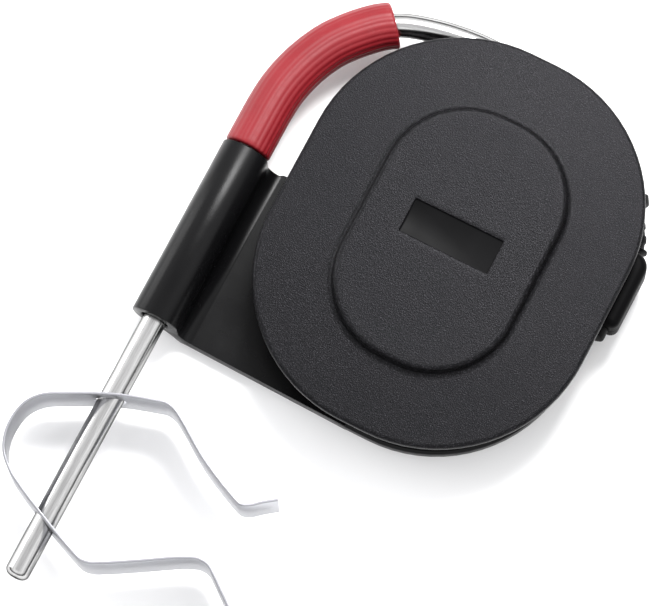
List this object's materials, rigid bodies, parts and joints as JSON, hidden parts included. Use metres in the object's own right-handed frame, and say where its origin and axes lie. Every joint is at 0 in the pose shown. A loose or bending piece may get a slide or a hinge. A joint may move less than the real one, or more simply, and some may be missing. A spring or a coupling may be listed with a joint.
{
  "type": "grill thermometer probe on cable winder",
  "caption": "Wired ambient probe of a grill thermometer: bent steel rod in a red sleeve and spring clip, stored on a black cable winder with its jack plug.",
  "frame": {"origin": "centre of the winder's flat rear face", "axes": "+Z out of the front cover, +Y along the probe rod from its tip towards the bend, +X across the label recess towards the jack plug"},
  "size_m": [0.0796, 0.1152, 0.0148],
  "materials": {
    "cover_grained": "fine spark-eroded grain",
    "body_smooth": "semi-gloss moulded",
    "screw_zinc": "zinc plated",
    "cable_braid": "braided stainless wire",
    "steel_polished": "polished",
    "silicone_red": "satin, ribbed along its length",
    "potting": "cast",
    "bead_lacquer": "lacquered",
    "copper": "drawn",
    "glass_fibre": "woven sleeving",
    "plug_moulding": "satin soft moulding",
    "nickel_plate": "nickel plated",
    "insulator_black": "moulded",
    "spring_strip": "satin rolled strip"
  },
  "bodies": {
    "winder": {"front_cover": "cover_grained", "rear_body": "body_smooth", "cover_screw_1": "screw_zinc", "cover_screw_2": "screw_zinc", "cover_screw_3": "screw_zinc", "cover_screw_4": "screw_zinc", "cable_wound": "cable_braid", "cable_lead_probe": "cable_braid", "cable_lead_plug": "cable_braid"},
    "probe": {"probe_tube": "steel_polished", "grip_sleeve": "silicone_red", "crimp_ferrule": "steel_polished", "tip_potting": "potting", "sensor_bead": "bead_lacquer", "lead_wire_a": "copper", "lead_wire_b": "copper", "lead_insulation": "glass_fibre"},
    "plug": {"plug_body": "plug_moulding", "strain_relief": "plug_moulding", "jack_sleeve": "nickel_plate", "jack_insulator": "insulator_black", "jack_tip": "nickel_plate", "tip_lug": "copper"},
    "clip": {"grill_clip": "spring_strip"}
  },
  "joints": [
    {"name": "probe_slide", "type": "slide", "parent": "winder", "child": "probe", "axis": [0, 1, 0], "range_m": [0, 0.0115], "deforming": ["cable_lead_probe"]},
    {"name": "plug_pull", "type": "slide", "parent": "winder", "child": "plug", "axis": [0, 1, 0], "range_m": [0, 0.0095], "deforming": ["cable_lead_plug"]},
    {"name": "clip_slide", "type": "slide", "parent": "probe", "child": "clip", "axis": [0, -1, 0], "range_m": [0, 0.035]}
  ]
}
